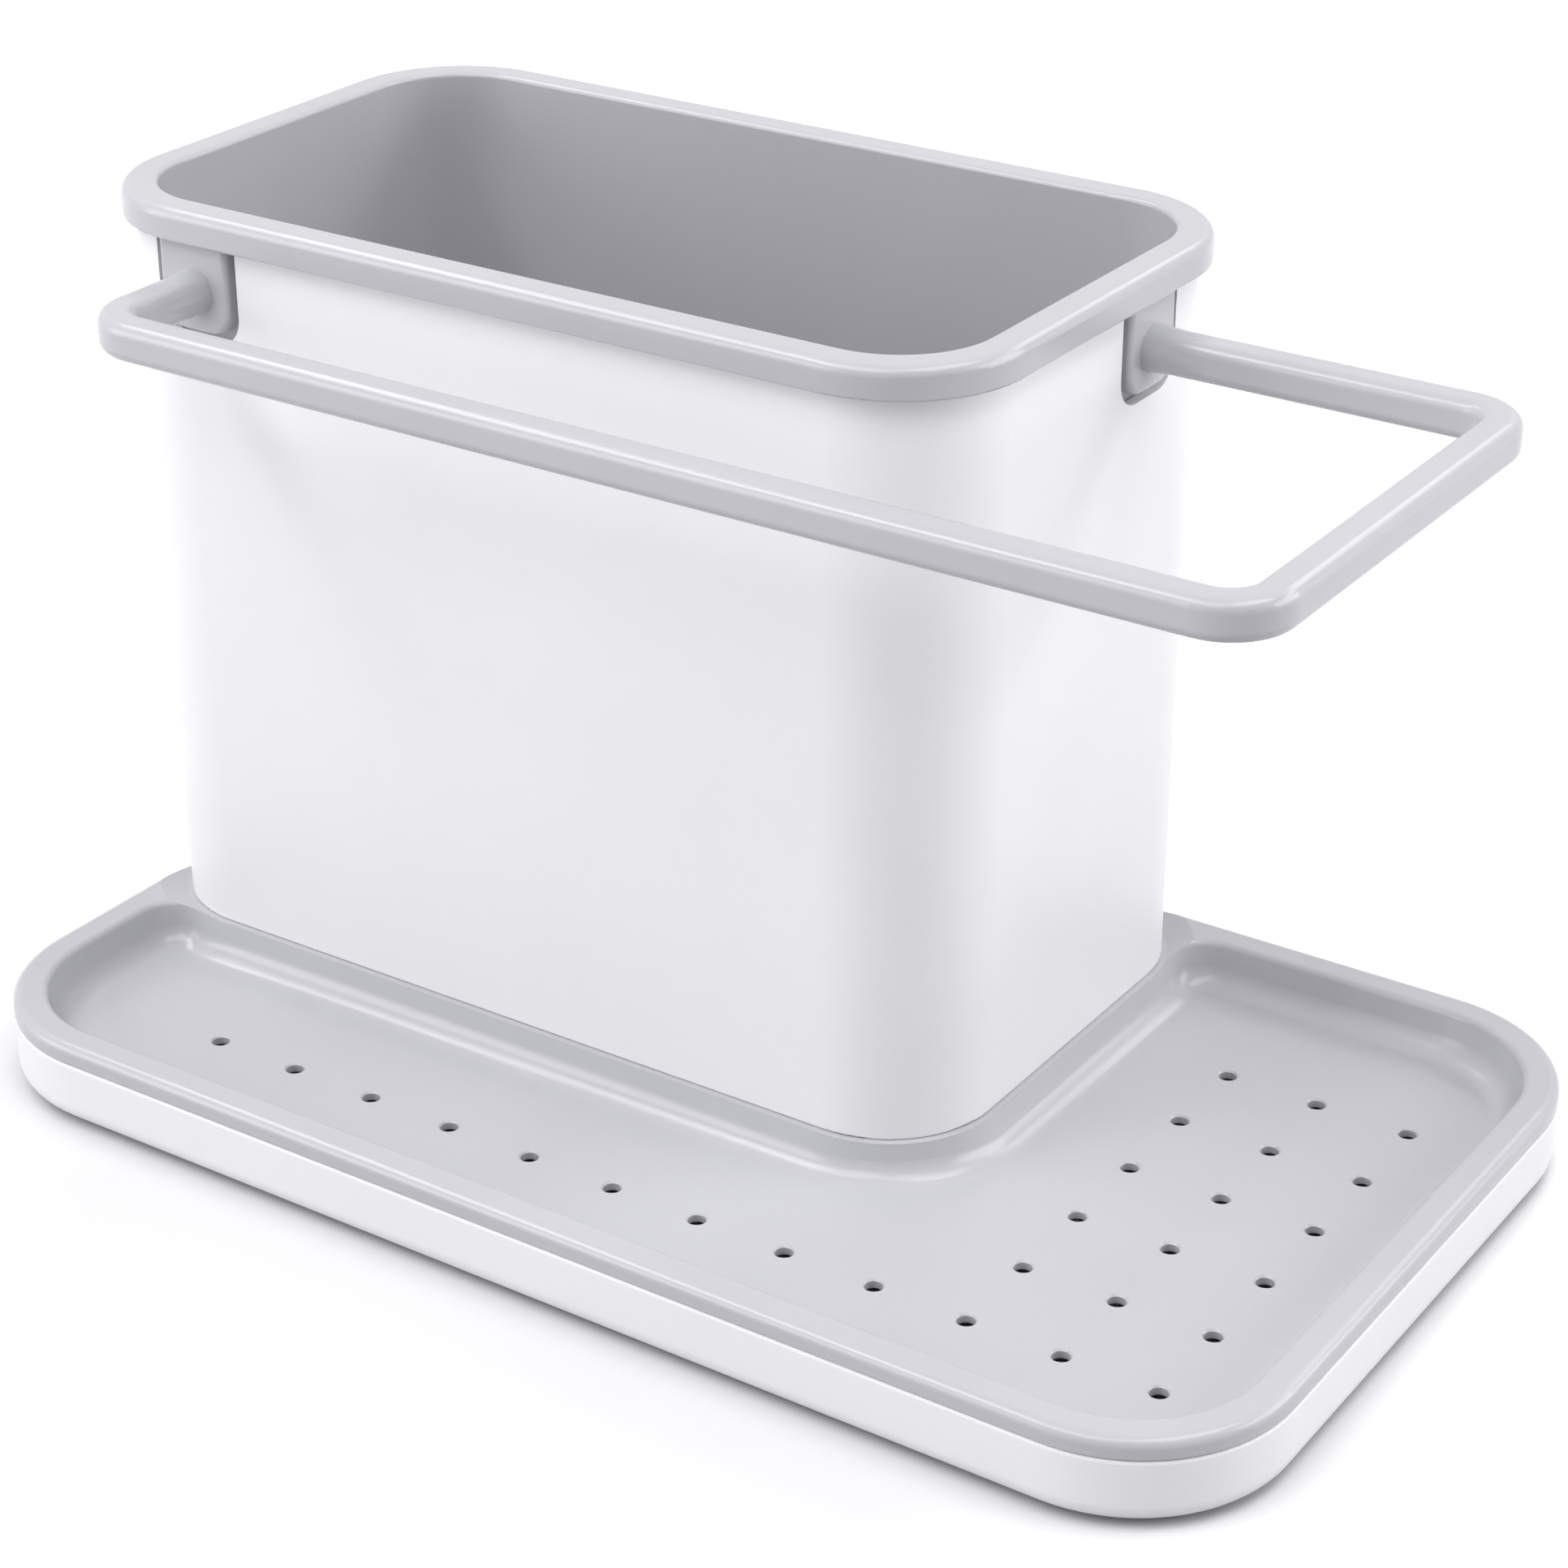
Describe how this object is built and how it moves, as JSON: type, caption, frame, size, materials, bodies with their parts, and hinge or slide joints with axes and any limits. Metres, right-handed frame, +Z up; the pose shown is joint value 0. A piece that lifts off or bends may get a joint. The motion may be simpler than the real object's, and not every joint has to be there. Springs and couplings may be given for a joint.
{
  "type": "kitchen sink caddy",
  "caption": "Sink caddy: a bin with a lift-out liner and a bent towel rail stands on a drip tray with an L-shaped, holed drain well.",
  "frame": {"origin": "middle of the whole caddy's bounding box, on the plane that its feet stand on", "axes": "+X along the tray's long side, from the bin's end to the open end; +Y from the front to the back; +Z up"},
  "size_m": [0.288, 0.172, 0.1728],
  "materials": {
    "white_plastic": "satin moulded",
    "grey_plastic": "satin moulded",
    "foot_rubber": "matt moulded"
  },
  "bodies": {
    "base": {"base_tray": "white_plastic", "foot_front_left": "foot_rubber", "foot_front_right": "foot_rubber", "foot_back_left": "foot_rubber", "foot_back_right": "foot_rubber"},
    "drain": {"drain_tray": "grey_plastic"},
    "bin": {"caddy_bin": "white_plastic"},
    "bucket": {"liner": "grey_plastic", "towel_rail": "grey_plastic"}
  },
  "joints": [
    {"name": "drain_tray_lift", "type": "slide", "parent": "base", "child": "drain", "axis": [0, 0, 1], "range_m": [0, 0.04]},
    {"name": "bin_lift", "type": "slide", "parent": "drain", "child": "bin", "axis": [0, 0, 1], "range_m": [0, 0.04]},
    {"name": "liner_lift", "type": "slide", "parent": "bin", "child": "bucket", "axis": [0, 0, 1], "range_m": [0, 0.16]}
  ]
}
